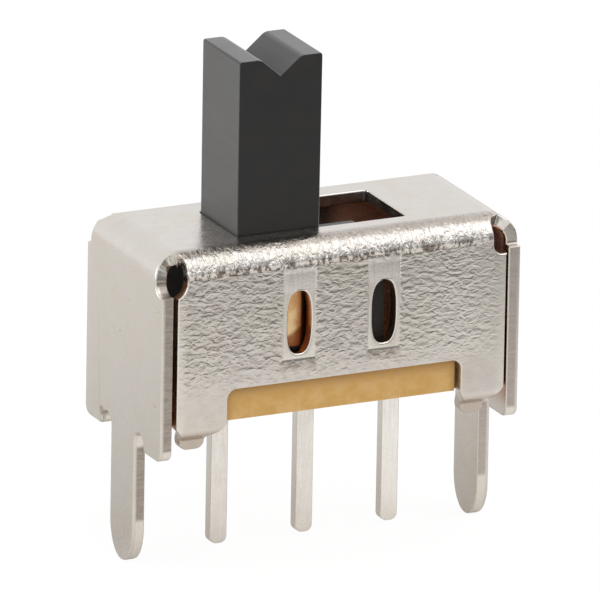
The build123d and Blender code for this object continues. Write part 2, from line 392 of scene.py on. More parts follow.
# the sheet's thickness, after crowded points by the upper corners are merged
crowded = {"end": 4.4, "side": 1.9, "low": 4.5, "merge": 0.012}
pickPoints(shell, lambda c: abs(c.x) > crowded["end"] and abs(c.y) > crowded["side"] and c.z > crowded["low"])
bpy.ops.mesh.remove_doubles(threshold=crowded["merge"])
bpy.ops.mesh.select_all(action="SELECT")
bpy.ops.mesh.remove_doubles(threshold=mergeDistance)
bpy.ops.mesh.dissolve_degenerate(threshold=hair)
bpy.ops.mesh.normals_make_consistent(inside=False)
setMode("OBJECT")
thicken = shell.modifiers.new("sheet", "SOLIDIFY")
thicken.thickness = f["sheet"]
thicken.offset = -1
thicken.use_even_offset = True
bpy.ops.object.modifier_apply(modifier=thicken.name)


def isPad(c):
    raised = any(abs(c.x - x) < t["padHalf"] - t["slope"] + 2 * hair for x in t["places"])
    tall = t["padFoot"] + t["slope"] - 2 * hair < c.z < t["padTop"] + 2 * hair
    return raised and tall and c.y < -f["halfWidth"] + 0.01


pickPoints(shell, isPad)
bpy.ops.transform.translate(value=(0, -t["rise"], 0))
setMode("OBJECT")

corners = {"from": 3.3, "through": 0.2, "end": 4.4, "side": 1.85, "low": 5.1}


def keepWithin(c):
    # points by the corners that the soft edges pushed out go back to the sheet's outer face
    if abs(c.x) < corners["from"]:
        return
    for axis, half, bend in bends:
        way = 1 if c[axis] > 0 else -1
        past, over = abs(c[axis]) - (half - bend), c.z - (f["top"] - bend)
        if past > 0 and over > 0:
            share = min(1, bend / (past * past + over * over) ** 0.5)
            c[axis], c.z = way * (half - bend + past * share), f["top"] - bend + over * share
        else:
            c[axis], c.z = way * min(abs(c[axis]), half), min(c.z, f["top"])


def isThroughSheet(a, b):
    # edges through the sheet at the reliefs' upper corners, whose neighbours are too short for a soft edge
    atCorner = abs(a.x) > corners["end"] and abs(a.y) > corners["side"] and a.z > corners["low"]
    return atCorner and (a - b).length > corners["through"]


finishPiece(shell, f["softEdge"], settle=keepWithin, spare=isThroughSheet)
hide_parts("frame")
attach(shell, "housing")

# Slider: a foot inside the frame and the actuator with its V notch

sliderShape = {
    "place": -1.33, "footHalf": 2.8, "footLow": 2.1, "footTop": 5.29, "footHalfWidth": 1.99, "footRound": 0.21,
    "half": 1.21, "halfWidth": 1.185, "sunk": 0.2, "top": 10.54, "notchHalf": 0.6, "notchDepth": 0.51,
    "wedgeOver": 0.4, "wedgeHalfWidth": 2, "lip": 0.1, "corner": 0.06, "softEdge": 0.03,
}
s = sliderShape
x = s["place"]
slider = addBlock("slideActuator", (x - s["footHalf"], -s["footHalfWidth"], s["footLow"]),
                  (x + s["footHalf"], s["footHalfWidth"], s["footTop"]))
roundEdges(slider, lambda m, way: runsAlong(way, 0) and near(m.z, s["footTop"]), s["footRound"], 5)
knob = addBlock("knob", (x - s["half"], -s["halfWidth"], s["footTop"] - s["sunk"]),
                (x + s["half"], s["halfWidth"], s["top"]))
wedgeHalf = s["notchHalf"] / s["notchDepth"] * (s["notchDepth"] + s["wedgeOver"])
wedge = addBlock("wedge", (x - wedgeHalf, -s["wedgeHalfWidth"], s["top"] - s["notchDepth"]),
                 (x + wedgeHalf, s["wedgeHalfWidth"], s["top"] + s["wedgeOver"]))
pickPoints(wedge, lambda c: c.z < s["top"])
bpy.ops.transform.resize(value=(0, 1, 1), center_override=(x, 0, 0))
bpy.ops.mesh.select_all(action="SELECT")
bpy.ops.mesh.remove_doubles(threshold=hair)
setMode("OBJECT")
workIn(knob, wedge)


def isLip(m, way, reach):
    return runsAlong(way, 1) and near(m.z, s["top"]) and near(abs(m.x - x), reach)


roundEdges(knob, lambda m, way: isLip(m, way, s["notchHalf"]), s["lip"], 5)
roundEdges(knob, lambda m, way: isLip(m, way, s["half"]), s["corner"], 3)
roundEdges(knob, lambda m, way: runsAlong(way, 2) and near(abs(m.x - x), s["half"]), s["corner"], 3)
workIn(slider, knob, "UNION")

# room for the blades, the contact clip and the detent spring, and the lowered corner that the window shows
sliderCuts = {
    "channel": ((-6, -0.4, 1), (6, 0.16, 3.37)),
    "clipPocket": ((x - 1.52, -0.5, 1), (x + 1.52, 0.26, 3.54)),
    "leafPocket": ((-2.99, -2.5, 2.67), (0.49, -1.24, 4.31)),
    "footStep": ((-0.03, 0.1, 4.19), (3, 3, 7)),
}
for name, (low, high) in sliderCuts.items():
    workIn(slider, addBlock(name, low, high))
finishPiece(slider, s["softEdge"], steps=2)
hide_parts("slider")
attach(slider, "slide")

# Flat pins with the contact blades above the base

pinShape = {
    "pitch": 2.54, "row": -0.12, "half": 0.25, "halfThick": 0.18, "low": -3.25, "baseTop": 1.82, "round": 0.2,
    "bladeHalf": 0.75, "bladeTop": 3.27, "bladeRound": 0.12, "softEdge": 0.045,
}
p = pinShape
front, back = p["row"] - p["halfThick"], p["row"] + p["halfThick"]
pin = addBlock("pinMiddle", (-p["half"], front, p["low"]), (p["half"], back, p["baseTop"]))
roundEdges(pin, lambda m, way: runsAlong(way, 1) and near(m.z, p["low"]), p["round"], 6)
pickFaces(pin, lambda c, n: n.z > 0.9)
bpy.ops.mesh.extrude_region_move(TRANSFORM_OT_translate={"value": (0, 0, 0)})
bpy.ops.transform.resize(value=(p["bladeHalf"] / p["half"], 1, 1), center_override=(0, p["row"], 0))
bpy.ops.mesh.extrude_region_move(TRANSFORM_OT_translate={"value": (0, 0, p["bladeTop"] - p["baseTop"])})
setMode("OBJECT")
roundEdges(pin, lambda m, way: runsAlong(way, 1) and near(m.z, p["bladeTop"]), p["bladeRound"], 4)
finishPiece(pin, p["softEdge"])
pins = [(pin, "common_terminal")]
for name, node, step in (("pinLeft", "left_terminal", -1), ("pinRight", "right_terminal", 1)):
    pickPiece(pin)
    bpy.ops.object.duplicate(linked=False)
    other = bpy.context.object
    other.name = name
    other.location = (step * p["pitch"] * mm, 0, 0)
    applyMoves()
    pins.append((other, node))
for piece, node in pins:
    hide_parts(node)
    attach(piece, "housing")

# Detent spring: a thin leaf with an upright ridge that looks out of a hole

leafShape = {
    "place": -1.25, "height": 3.49, "front": -1.81, "back": -1.69, "half": 1.7, "halfTall": 0.78, "sheet": 0.12,
    "leg": 0.45, "legSunk": 0.05, "ridge": 0.6, "ridgeMiddle": -1.4646, "ridgeSunk": 0.03, "ridgeSteps": 72,
    "hollowOver": 0.2, "softEdge": 0.02,
}
l = leafShape
lowEdge, highEdge = l["height"] - l["halfTall"], l["height"] + l["halfTall"]
leaf = addBlock("detentLeaf", (l["place"] - l["half"], l["front"], lowEdge),
                (l["place"] + l["half"], l["back"], highEdge))
for end in (-1, 1):
    low, high = sorted((l["place"] + end * l["half"], l["place"] + end * (l["half"] - l["sheet"])))
    fold = addBlock("fold", (low, l["back"] - l["legSunk"], lowEdge), (high, l["back"] + l["leg"], highEdge))
    workIn(leaf, fold, "UNION")
for radius, over, how in ((l["ridge"], 0, "UNION"), (l["ridge"] - l["sheet"], l["hollowOver"], "DIFFERENCE")):
    pickNothing()
    bpy.ops.mesh.primitive_cylinder_add(vertices=l["ridgeSteps"], radius=radius, depth=2 * l["halfTall"] + over,
                                        location=(l["place"], l["ridgeMiddle"], l["height"]))
    ridge = bpy.context.object
    applyMoves()
    if how == "UNION":
        pickPiece(ridge)
        setMode("EDIT")
        bpy.ops.mesh.select_all(action="SELECT")
        bpy.ops.mesh.bisect(plane_co=(0, l["back"] - l["ridgeSunk"], 0), plane_no=(0, 1, 0),
                            use_fill=True, clear_outer=True)
        setMode("OBJECT")
    workIn(leaf, ridge, how)
finishPiece(leaf, l["softEdge"], steps=2)
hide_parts("detent_spring")
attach(leaf, "slide")


# Materials: helpers that add nodes to a tree and give the socket they end in

def setInputs(tree, node, inputs):
    for key, value in inputs.items():
        if isinstance(value, bpy.types.NodeSocket):
            tree.links.new(value, node.inputs[key])
        else:
            node.inputs[key].default_value = value


def addNode(tree, kind, inputs, **settings):
    node = tree.nodes.new(kind)
    for key, value in settings.items():
        setattr(node, key, value)
    setInputs(tree, node, inputs)
    return node


def startTree(owner, outputKind):
    owner.use_nodes = True
    tree = owner.node_tree
    tree.nodes.clear()
    return tree, tree.nodes.new(outputKind)


def startMaterial(name):
    material = bpy.data.materials.new(name)
    tree, output = startTree(material, "ShaderNodeOutputMaterial")
    shader = tree.nodes.new("ShaderNodeBsdfPrincipled")
    tree.links.new(shader.outputs["BSDF"], output.inputs["Surface"])
    return material, tree, shader


def sums(tree, operation, *values):
    return addNode(tree, "ShaderNodeMath", dict(enumerate(values)), operation=operation).outputs[0]


def chain(tree, operation, values):
    result = values[0]
    for value in values[1:]:
        result = sums(tree, operation, result, value)
    return result


def times(tree, *values):
    return chain(tree, "MULTIPLY", values)


def plus(tree, *values):
    return chain(tree, "ADD", values)


def most(tree, *values):
    return chain(tree, "MAXIMUM", values)


def oneLess(tree, value):
    return sums(tree, "SUBTRACT", 1.0, value)


def band(tree, value, low, high, start=0.0, end=1.0):
    # goes softly from start to end as the value goes from low to high
    inputs = {"Value": value, "From Min": low, "From Max": high, "To Min": start, "To Max": end}
    return addNode(tree, "ShaderNodeMapRange", inputs, interpolation_type="SMOOTHSTEP").outputs[0]


def fade(tree, value, low, high):
    return band(tree, value, low, high, 1.0, 0.0)


def within(tree, value, low, lowEnd, high, highEnd):
    # rises from low to lowEnd and falls again from high to highEnd
    return times(tree, band(tree, value, low, lowEnd), fade(tree, value, high, highEnd))


def blendColours(tree, factor, a, b):
    return addNode(tree, "ShaderNodeMix", {0: factor, 6: a, 7: b}, data_type="RGBA", blend_type="MIX").outputs[2]


def places(tree):
    # the object's own coordinates in millimetres, whole and split
    coordinates = addNode(tree, "ShaderNodeTexCoord", {}).outputs["Object"]
    whole = addNode(tree, "ShaderNodeVectorMath", {0: coordinates, "Scale": 1 / mm}, operation="SCALE").outputs[0]
    split = addNode(tree, "ShaderNodeSeparateXYZ", {0: whole})
    return whole, split.outputs[0], split.outputs[1], split.outputs[2]


def noise(tree, where, scale, detail=2.0, roughness=0.5, distortion=0.0, stretch=(1, 1, 1), turn=(0, 0, 0)):
    if tuple(stretch) != (1, 1, 1) or tuple(turn) != (0, 0, 0):
        where = addNode(tree, "ShaderNodeMapping", {"Vector": where, "Scale": stretch, "Rotation": turn}).outputs[0]
    inputs = {"Vector": where, "Scale": scale, "Detail": detail, "Roughness": roughness, "Distortion": distortion}
    return addNode(tree, "ShaderNodeTexNoise", inputs).outputs[0]


def specks(tree, where, scale, size, share):
    # sparse small dots: cells of a random pattern, of which only a share gets a dot
    cells = addNode(tree, "ShaderNodeTexVoronoi", {"Vector": where, "Scale": scale, "Randomness": 1.0})
    pick = addNode(tree, "ShaderNodeSeparateColor", {0: cells.outputs["Color"]}).outputs[0]
    chosen = sums(tree, "LESS_THAN", pick, share)
    return times(tree, chosen, fade(tree, cells.outputs["Distance"], size * 0.5, size))


def addBump(tree, height, depth, below=None):
    # relief of a depth in millimetres, on top of the relief below
    inputs = {"Strength": 1.0, "Distance": depth * mm, "Height": height}
    if below is not None:
        inputs["Normal"] = below
    return addNode(tree, "ShaderNodeBump", inputs).outputs[0]


tinLook = {
    "colour": (0.67, 0.64, 0.60, 1), "warm": (0.66, 0.615, 0.55, 1), "pink": (0.68, 0.635, 0.615, 1),
    "hollow": (0.50, 0.46, 0.43, 1), "pad": (0.75, 0.715, 0.67, 1), "lip": (0.54, 0.475, 0.415, 1),
    "cut": (0.37, 0.32, 0.285, 1), "paleCut": (0.50, 0.445, 0.405, 1), "reflectedBrown": (0.40, 0.165, 0.065, 1),
    "tan": (0.44, 0.385, 0.335, 1), "padHighlight": (0.90, 0.865, 0.82, 1), "glint": (0.95, 0.92, 0.89, 1),
    "under": (0.17, 0.115, 0.085, 1), "inside": (0.82, 0.42, 0.27, 1), "actuatorShadow": (0.14, 0.085, 0.065, 1),
    "speck": (0.22, 0.17, 0.13, 1), "stain": (0.40, 0.31, 0.25, 1), "stainPlace": (-5.3, 1.33, 0.38),
    "crinkleScale": 7.0, "crinkleDepth": 0.03, "bendDepth": 2.2, "grainDepth": 0.0022, "markDepth": 0.006,
    "roughness": 0.22, "duller": 0.22, "bendDuller": 0.06, "holeGloss": 0.5, "insideDiffuse": 0.85,
}
# how strongly each colour covers the ones before it
tinShares = {"smoothEdge": 0.75, "coined": 0.85, "hollow": 0.55, "edge": 0.9, "pad": 0.7, "hole": 0.85, "slit": 0.85,
             "inFlap": 0.7, "glint": 0.6, "under": 0.75, "speck": 0.7, "stain": 0.8}
# borders in millimetres: a pair is one soft border, four are a soft begin and a soft end, a single one is sharp
tinZones = {
    "wallY": (1.72, 2.02), "wallX": (4.84, 4.90), "wallZ": (1.4, 2.6), "edgeX": (4.5, 4.78), "calmX": (3.4, 4.6),
    "padX": (0.44, 0.52), "padZ": (2.40, 2.48, 4.85, 5.2), "padBack": 0.0, "bendZ": (5.02, 5.2),
    "flapX": (4.955, 4.99, 5.17, 5.24), "flapZ": (4.85, 4.95), "flapEndZ": (-0.1, 0.0, 0.26, 0.36),
    "legEndZ": (-2.22, -2.08), "wallCutX": (4.90, 4.93), "wallCutY": (2.06, 2.10, 2.28, 2.34),
    "wallCutZ": (0.92, 0.98, 4.9, 5.0), "holeX": (0.38, 0.40), "holeY": (-2.40, -2.36), "holeBack": -2.0,
    "holeZ": (2.55, 2.6, 4.38, 4.43), "cutX": (-2, 2), "paleX": (0.5, 4.5), "padHighlightZ": (4.2, 4.5),
    "underPadX": (0.42, 0.62), "underPadZ": (2.1, 2.28, 2.40, 2.43), "underPadBack": -2.2, "slitX": (4.78, 4.80),
    "reliefX": (4.46, 4.5, 4.9, 4.93), "reliefY": (2.05, 2.08, 2.30, 2.36), "reliefZ": (4.3, 4.45, 5.1, 5.2),
    "lipX": (4.90, 4.92), "lipZ": (0.55, 0.85), "inFlapX": (4.90, 4.92, 4.95, 4.955), "inFlapZ": (0.1, 0.9, 2.5, 3.5),
    "stripX": (4.5, 4.9), "stripY": (-2.2, -2.08, -1.8, -1.62), "stripZ": (5.48, 5.52),
    "glintZ": (5.1, 5.14, 5.26, 5.32), "underZ": (4.98, 5.04, 5.16, 5.24), "insideX": (4.93, 4.95),
    "insideY": (2.05, 2.065), "insideZ": (1.2, 1.4, 5.33, 5.345), "actuatorShadowX": (1.75, 2.45), "stain": (0.13, 0.24),
}


def makeTin():
    look, share, zone = tinLook, tinShares, tinZones
    material, tree, shader = startMaterial("tinPlate")
    where, x, y, z = places(tree)
    absX, absY = sums(tree, "ABSOLUTE", x), sums(tree, "ABSOLUTE", y)
    fromPad = sums(tree, "ABSOLUTE", sums(tree, "SUBTRACT", absX, detents["places"][1]))

    # crinkled skin on the long walls and their bends, smooth pads, flaps and tabs
    wall = times(tree, band(tree, absY, *zone["wallY"]), fade(tree, absX, *zone["wallX"]))
    byEdge = times(tree, wall, band(tree, absX, *zone["edgeX"]))
    onWall = times(tree, wall, band(tree, z, *zone["wallZ"]), band(tree, x, *zone["calmX"], 1.0, 0.6))
    onPad = times(tree, fade(tree, fromPad, *zone["padX"]), within(tree, z, *zone["padZ"]),
                  sums(tree, "LESS_THAN", y, zone["padBack"]))
    crinkled = times(tree, onWall, oneLess(tree, most(tree, onPad, times(tree, byEdge, share["smoothEdge"]))))
    fine = noise(tree, where, look["crinkleScale"], 1.5, 0.5, 0.6, (0.68, 1, 1.2), (0, radians(-20), 0))
    coarse = noise(tree, where, look["crinkleScale"] * 0.5, 1.0, 0.5, 0.5, (0.6, 1, 1.2), (0, radians(8), 0))
    speckled = noise(tree, where, 8.0, 2.0, 0.6, 0.4, (1.1, 0.6, 0.6), (0, radians(12), 0))
    onBend = band(tree, z, *zone["bendZ"])
    folds = plus(tree, times(tree, fine, 0.8), times(tree, coarse, 0.3))
    height = plus(tree, times(tree, folds, oneLess(tree, onBend)), times(tree, speckled, onBend, look["bendDepth"]))

    # sheared faces inside the sheet's thickness, apart from the smooth ends of flaps and legs
    flap = times(tree, within(tree, absX, *zone["flapX"]), fade(tree, z, *zone["flapZ"]))
    ends = most(tree, within(tree, z, *zone["flapEndZ"]), fade(tree, z, *zone["legEndZ"]))
    coined = times(tree, ends, flap)
    flapCut = sums(tree, "SUBTRACT", flap, times(tree, coined, share["coined"]))
    inHole = times(tree, fade(tree, fromPad, *zone["holeX"]), sums(tree, "LESS_THAN", y, zone["holeBack"]),
                   within(tree, z, *zone["holeZ"]), band(tree, y, *zone["holeY"]))
    wallCut = times(tree, within(tree, absY, *zone["wallCutY"]), within(tree, z, *zone["wallCutZ"]),
                    fade(tree, absX, *zone["wallCutX"]), oneLess(tree, inHole))
    sheared = most(tree, flapCut, wallCut)
    marks = noise(tree, where, 9.0, 2.0, 0.6, 0.2, (0.35, 0.35, 2.2))

    # colour: drifting warm and pink tints, painted shade in the crinkle hollows, cut faces
    tint = noise(tree, where, 0.55, 2.0, 0.5)
    drift = noise(tree, where, 1.7, 3.0, 0.6)
    colour = blendColours(tree, band(tree, tint, 0.35, 0.65), look["warm"], look["pink"])
    colour = blendColours(tree, band(tree, drift, 0.3, 0.7), colour, look["colour"])
    # painted shade: the crinkle's low places are darkened
    hollows = times(tree, fade(tree, height, 0.42, 0.60), crinkled, share["hollow"])
    colour = blendColours(tree, hollows, colour, look["hollow"])
    cut = blendColours(tree, band(tree, x, *zone["cutX"]), look["cut"], look["paleCut"])
    colour = blendColours(tree, times(tree, sheared, band(tree, marks, 0.25, 0.7, 0.6, 1.0)), colour, cut)
    # the right part of the front wall lightened as a painted reflection, and the paler smooth ends, edges and pads
    paler = most(tree, times(tree, onWall, band(tree, x, *zone["paleX"])), coined, times(tree, byEdge, share["edge"]),
                 times(tree, onPad, share["pad"]))
    colour = blendColours(tree, paler, colour, look["pad"])
    # painted highlight streaks on the pads above the holes, and a painted shadow under the pads' lower ends
    streaks = noise(tree, where, 7.0, 2.0, 0.5, 0.2, (1.6, 1, 0.22))
    # painted highlight in light streaks above the holes
    padHighlight = times(tree, onPad, band(tree, z, *zone["padHighlightZ"]), band(tree, streaks, 0.35, 0.55, 0.45, 1.0))
    colour = blendColours(tree, padHighlight, colour, look["padHighlight"])
    # painted shadow below the pads, in the colour of the cut faces
    underPad = times(tree, fade(tree, fromPad, *zone["underPadX"]), sums(tree, "LESS_THAN", y, zone["underPadBack"]),
                     within(tree, z, *zone["underPadZ"]), band(tree, fine, 0.4, 0.6, 1.0, 0.45))
    colour = blendColours(tree, underPad, colour, look["cut"])
    # painted brown reflection and shade in the holes, the slits, the reliefs and behind the flaps, and painted shade
    # on the tabs' lips
    # painted reflection of the brass on the holes' sides
    colour = blendColours(tree, times(tree, inHole, share["hole"]), colour, look["reflectedBrown"])
    inRelief = times(tree, within(tree, absY, *zone["reliefY"]), within(tree, z, *zone["reliefZ"]),
                     within(tree, absX, *zone["reliefX"]))
    inSlit = most(tree, times(tree, wallCut, band(tree, absX, *zone["slitX"])), inRelief)
    colour = blendColours(tree, times(tree, inSlit, share["slit"]), colour, look["reflectedBrown"])
    # painted shade on the tabs' folded lips under the base
    onLip = times(tree, fade(tree, absX, *zone["lipX"]), fade(tree, z, *zone["lipZ"]))
    colour = blendColours(tree, onLip, colour, look["lip"])
    # painted reflection of the tan base on the flaps' inner faces
    inFlap = times(tree, within(tree, absX, *zone["inFlapX"]), within(tree, z, *zone["inFlapZ"]), share["inFlap"])
    colour = blendColours(tree, inFlap, colour, look["reflectedBrown"])
    # the bend: a painted tan reflection where it leaves the top, then broken painted glints, and painted dark-brown
    # reflection under them
    strip = times(tree, within(tree, y, *zone["stripY"]), band(tree, z, *zone["stripZ"]),
                  fade(tree, absX, *zone["stripX"]), band(tree, speckled, 0.3, 0.6, 0.95, 0.6))
    colour = blendColours(tree, strip, colour, look["tan"])
    glint = times(tree, within(tree, z, *zone["glintZ"]), onWall, band(tree, speckled, 0.42, 0.56), share["glint"])
    colour = blendColours(tree, glint, colour, look["glint"])
    under = times(tree, within(tree, z, *zone["underZ"]), crinkled, fade(tree, speckled, 0.42, 0.54), share["under"])
    colour = blendColours(tree, under, colour, look["under"])
    # painted brown light, reflected from the base, inside the shell, and a painted shadow of the actuator on the back
    # wall
    inside = times(tree, fade(tree, absY, *zone["insideY"]), fade(tree, absX, *zone["insideX"]),
                   within(tree, z, *zone["insideZ"]))
    uneven = plus(tree, x, times(tree, tint, 0.5))
    brown = blendColours(tree, band(tree, uneven, *zone["actuatorShadowX"]), look["actuatorShadow"], look["inside"])
    colour = blendColours(tree, inside, colour, brown)
    # specks, and one stain on the left flap
    dots = specks(tree, where, 1.3, 0.055, 0.3)
    colour = blendColours(tree, times(tree, dots, share["speck"]), colour, look["speck"])
    fromStain = addNode(tree, "ShaderNodeVectorMath", {0: where, 1: look["stainPlace"]}, operation="DISTANCE")
    ragged = plus(tree, fromStain.outputs["Value"], times(tree, noise(tree, where, 8.0), 0.12))
    colour = blendColours(tree, times(tree, fade(tree, ragged, *zone["stain"]), share["stain"]), colour, look["stain"])

    # gloss and relief
    dull = noise(tree, where, 3.0, 4.0, 0.6)
    gloss = band(tree, dull, 0.25, 0.75, look["roughness"] - 0.05, look["roughness"] + 0.09)
    gloss = plus(tree, gloss, times(tree, most(tree, sheared, inside), look["duller"]),
                 times(tree, onWall, onBend, look["bendDuller"]))
    gloss = times(tree, gloss, oneLess(tree, times(tree, inHole, look["holeGloss"])))
    crinkles = addBump(tree, times(tree, height, crinkled), look["crinkleDepth"])
    grain = addBump(tree, noise(tree, where, 16.0, 3.0, 0.6), look["grainDepth"], crinkles)
    scored = addBump(tree, times(tree, marks, sheared), look["markDepth"], grain)
    # the painted brown inside is made less metallic so that it shows
    metal = oneLess(tree, times(tree, inside, look["insideDiffuse"]))
    setInputs(tree, shader, {"Base Color": colour, "Metallic": metal, "Roughness": gloss, "Normal": scored})
    return material


pinLook = {"colour": (0.84, 0.815, 0.785, 1), "dull": (0.72, 0.685, 0.65, 1), "bright": (0.94, 0.92, 0.895, 1),
           "sideY": (-0.285, -0.25, 0.01, 0.045), "sideShare": 0.8, "brightX": (-1, 2.6), "roughness": 0.27,
           "streakDepth": 0.004, "grainDepth": 0.0025}


def makePinTin():
    look = pinLook
    material, tree, shader = startMaterial("pinTin")
    where, x, y, _ = places(tree)
    patches = noise(tree, where, 1.6, 4.0, 0.6)
    streaks = noise(tree, where, 6.0, 3.0, 0.6, 0.1, (3.0, 3.0, 0.25))
    colour = blendColours(tree, band(tree, patches, 0.35, 0.7, 0.0, 0.5), look["colour"], look["dull"])
    # painted light: the pins are paler towards the right
    colour = blendColours(tree, band(tree, x, *look["brightX"], 0.0, 0.8), colour, look["bright"])
    colour = blendColours(tree, times(tree, within(tree, y, *look["sideY"]), look["sideShare"]), colour, look["dull"])
    gloss = band(tree, streaks, 0.25, 0.75, look["roughness"] - 0.06, look["roughness"] + 0.1)
    drawn = addBump(tree, streaks, look["streakDepth"])
    grain = addBump(tree, noise(tree, where, 11.0, 3.0), look["grainDepth"], drawn)
    setInputs(tree, shader, {"Base Color": colour, "Metallic": 1.0, "Roughness": gloss, "Normal": grain})
    return material


plasticLook = {"colour": (0.003, 0.0032, 0.0036, 1), "brown": (0.007, 0.0052, 0.004, 1), "dust": (0.32, 0.30, 0.28, 1),
               "lowZ": (5.6, 7.2), "lowShare": 0.6, "dustShare": 0.5, "roughness": 0.42, "bending": 1.4, "sheen": 0.52,
               "sheenRoughness": 0.5, "grainDepth": 0.0035, "lineDepth": 0.004, "pitDepth": -0.01}


def makeBlackPlastic():
    look = plasticLook
    material, tree, shader = startMaterial("blackPlastic")
    where, _, _, z = places(tree)
    cloud = noise(tree, where, 0.9, 3.0, 0.55)
    colour = blendColours(tree, band(tree, cloud, 0.35, 0.7), look["colour"], look["brown"])
    colour = blendColours(tree, times(tree, fade(tree, z, *look["lowZ"]), look["lowShare"]), colour, look["brown"])
    dust = specks(tree, where, 1.5, 0.035, 0.16)
    colour = blendColours(tree, times(tree, dust, look["dustShare"]), colour, look["dust"])
    lines = noise(tree, where, 1.0, 3.0, 0.6, 0.0, (0.35, 0.35, 6.5))
    shine = plus(tree, times(tree, cloud, 0.16), times(tree, lines, 0.12))
    gloss = band(tree, shine, 0.08, 0.2, look["roughness"] - 0.05, look["roughness"] + 0.07)
    grain = addBump(tree, noise(tree, where, 22.0, 3.0, 0.6), look["grainDepth"])
    toolLines = addBump(tree, lines, look["lineDepth"], grain)
    pits = addBump(tree, specks(tree, where, 2.1, 0.03, 0.2), look["pitDepth"], toolLines)
    setInputs(tree, shader, {"Base Color": colour, "Roughness": gloss, "Normal": pits, "IOR": look["bending"],
                             "Sheen Weight": look["sheen"], "Sheen Roughness": look["sheenRoughness"]})
    return material


laminateLook = {"colour": (0.62, 0.355, 0.098, 1), "pale": (0.69, 0.43, 0.16, 1), "dark": (0.42, 0.21, 0.055, 1),
                "upperZ": (1.65, 2.1), "middle": 0.14, "endX": (3.2, 3.4), "speckShare": 0.6, "roughness": 0.5,
                "fibreDepth": 0.01}


def makeLaminate():
    look = laminateLook
    material, tree, shader = startMaterial("tanLaminate")
    where, x, _, z = places(tree)
    mottle = noise(tree, where, 2.4, 4.0, 0.6, 0.3)
    fibres = noise(tree, where, 7.0, 3.0, 0.6, 0.2, (0.5, 0.5, 2.4))
    colour = blendColours(tree, band(tree, mottle, 0.35, 0.68), look["colour"], look["pale"])
    # painted shadow: darker along the top, under the frame's wall edge
    upper = plus(tree, z, times(tree, mottle, 0.5))
    colour = blendColours(tree, band(tree, upper, *look["upperZ"], 0.0, 0.75), colour, look["dark"])
    # painted shade: darker towards the ends of the opening, by the tabs
    fromMiddle = sums(tree, "ABSOLUTE", sums(tree, "SUBTRACT", x, look["middle"]))
    colour = blendColours(tree, band(tree, fromMiddle, *look["endX"], 0.0, 0.55), colour, look["dark"])
    flecks = specks(tree, where, 2.2, 0.05, 0.25)
    colour = blendColours(tree, times(tree, flecks, look["speckShare"]), colour, look["dark"])
    gloss = band(tree, fibres, 0.3, 0.7, look["roughness"] - 0.08, look["roughness"] + 0.12)
    woven = addBump(tree, fibres, look["fibreDepth"])
    setInputs(tree, shader, {"Base Color": colour, "Roughness": gloss, "Normal": woven})
    return material


brassLook = {"bright": (0.98, 0.74, 0.42, 1), "brown": (0.80, 0.46, 0.2, 1), "dark": (0.36, 0.13, 0.045, 1),
             "roughness": 0.42}
bronzeLook = {"bright": (0.70, 0.45, 0.22, 1), "brown": (0.48, 0.25, 0.10, 1), "dark": (0.40, 0.20, 0.08, 1),
              "roughness": 0.33}
brassShadeAndRolling = {"lean": 0.6, "slant": (3.78, 3.95), "rightX": (-1.06, -0.98), "share": 0.9, "rolledDepth": 0.003}


def makeBrass(name, look):
    shadeAndRolling = brassShadeAndRolling
    material, tree, shader = startMaterial(name)
    where, x, _, z = places(tree)
    patches = noise(tree, where, 2.2, 3.0, 0.55)
    rolled = noise(tree, where, 9.0, 2.0, 0.6, 0.0, (0.2, 1.0, 2.5))
    colour = blendColours(tree, band(tree, patches, 0.38, 0.72), look["bright"], look["brown"])
    # painted shade and dark reflection on the lower and right part of the ridge
    slant = sums(tree, "SUBTRACT", z, times(tree, x, shadeAndRolling["lean"]))
    paintedShade = most(tree, fade(tree, slant, *shadeAndRolling["slant"]), band(tree, x, *shadeAndRolling["rightX"]))
    colour = blendColours(tree, times(tree, paintedShade, shadeAndRolling["share"]), colour, look["dark"])
    gloss = band(tree, rolled, 0.25, 0.75, look["roughness"] - 0.07, look["roughness"] + 0.1)
    relief = addBump(tree, rolled, shadeAndRolling["rolledDepth"])
    setInputs(tree, shader, {"Base Color": colour, "Metallic": 1.0, "Roughness": gloss, "Normal": relief})
    return material


def dress(piece, material):
    piece.data.materials.clear()
    piece.data.materials.append(material)


pinTin = makePinTin()
dress(shell, makeTin())
dress(slider, makeBlackPlastic())
dress(leaf, makeBrass("springBrass", brassLook))
for piece, _ in pins:
    dress(piece, pinTin)
dress(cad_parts["base_plate"], makeLaminate())
dress(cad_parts["contact_clip"], makeBrass("clipBronze", bronzeLook))
print("materials made")

# Floor, light and background

studio = {
    "floorHalf": 0.6, "floorColour": (0.78, 0.78, 0.78, 1), "floorWhite": 0.9, "floorGlow": 1.04, "floorGloss": 0.9,
    "floorShade": 0.75, "floorTint": (0.98, 0.945), "aheadWay": (0.6, 0.8), "worldLevel": 0.76, "roomDark": 0.27,
    "darkWay": (0.30, -0.92, 0.22), "darkEdge": (0.84, 0.95), "white": (1, 1, 1, 1),
}
pickNothing()
bpy.ops.mesh.primitive_plane_add(size=2 * studio["floorHalf"], location=(0, 0, cadLow.z))
floor = bpy.context.object
floor.name = "floor"
floor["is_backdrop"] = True


def mixShaders(tree, factor, first, second):
    return addNode(tree, "ShaderNodeMixShader", {0: factor, 1: first.outputs[0], 2: second.outputs[0]})


def mirrorRays(rays):
    return most(rays.id_data, rays.outputs["Is Glossy Ray"], rays.outputs["Is Transmission Ray"])


